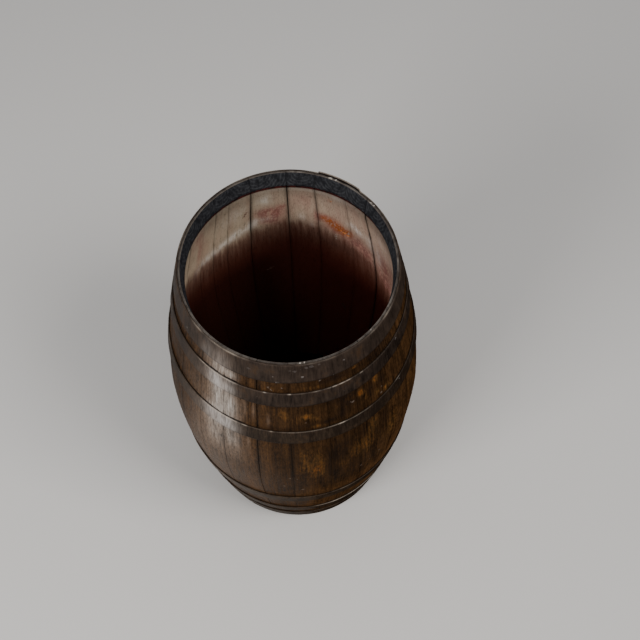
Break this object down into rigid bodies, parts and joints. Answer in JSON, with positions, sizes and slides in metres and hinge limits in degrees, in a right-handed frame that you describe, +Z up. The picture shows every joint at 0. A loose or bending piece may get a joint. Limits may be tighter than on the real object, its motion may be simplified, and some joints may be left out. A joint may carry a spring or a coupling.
{
  "type": "wooden barrel",
  "caption": "Small open-topped oak cask with bulging staves, riveted iron hoops and a boarded head for its floor, used as a floor planter or bin.",
  "frame": {"origin": "on the floor, in the middle of the cask's foot", "axes": "+Z up along the cask's axis; -Y is the side that the picture shows in front"},
  "size_m": [0.354, 0.354, 0.58],
  "materials": {
    "stave_oak": "old dark stain, worn to amber in places, satin",
    "head_oak": "wine-stained, dull",
    "dowel_wood": "plain",
    "hoop_iron": "overpainted with the same dark stain, edges worn bright",
    "rivet_iron": "as the hoops"
  },
  "bodies": {
    "root": {"stave_01": "stave_oak", "stave_02": "stave_oak", "stave_03": "stave_oak", "stave_04": "stave_oak", "stave_05": "stave_oak", "stave_06": "stave_oak", "stave_07": "stave_oak", "stave_08": "stave_oak", "stave_09": "stave_oak", "stave_10": "stave_oak", "stave_11": "stave_oak", "stave_12": "stave_oak", "stave_13": "stave_oak", "stave_14": "stave_oak", "stave_15": "stave_oak", "stave_16": "stave_oak", "stave_17": "stave_oak", "stave_18": "stave_oak", "stave_19": "stave_oak", "stave_20": "stave_oak", "stave_21": "stave_oak", "stave_22": "stave_oak", "stave_23": "stave_oak", "head_board_1": "head_oak", "head_board_2": "head_oak", "head_board_3": "head_oak", "head_board_4": "head_oak", "head_board_5": "head_oak", "head_dowels": "dowel_wood", "upper_chime_hoop": "hoop_iron", "upper_quarter_hoop": "hoop_iron", "upper_bilge_hoop": "hoop_iron", "lower_bilge_hoop": "hoop_iron", "lower_quarter_hoop": "hoop_iron", "lower_chime_hoop": "hoop_iron", "upper_chime_rivets": "rivet_iron", "upper_quarter_rivets": "rivet_iron", "upper_bilge_rivets": "rivet_iron", "lower_bilge_rivets": "rivet_iron", "lower_quarter_rivets": "rivet_iron", "lower_chime_rivets": "rivet_iron"}
  },
  "joints": []
}
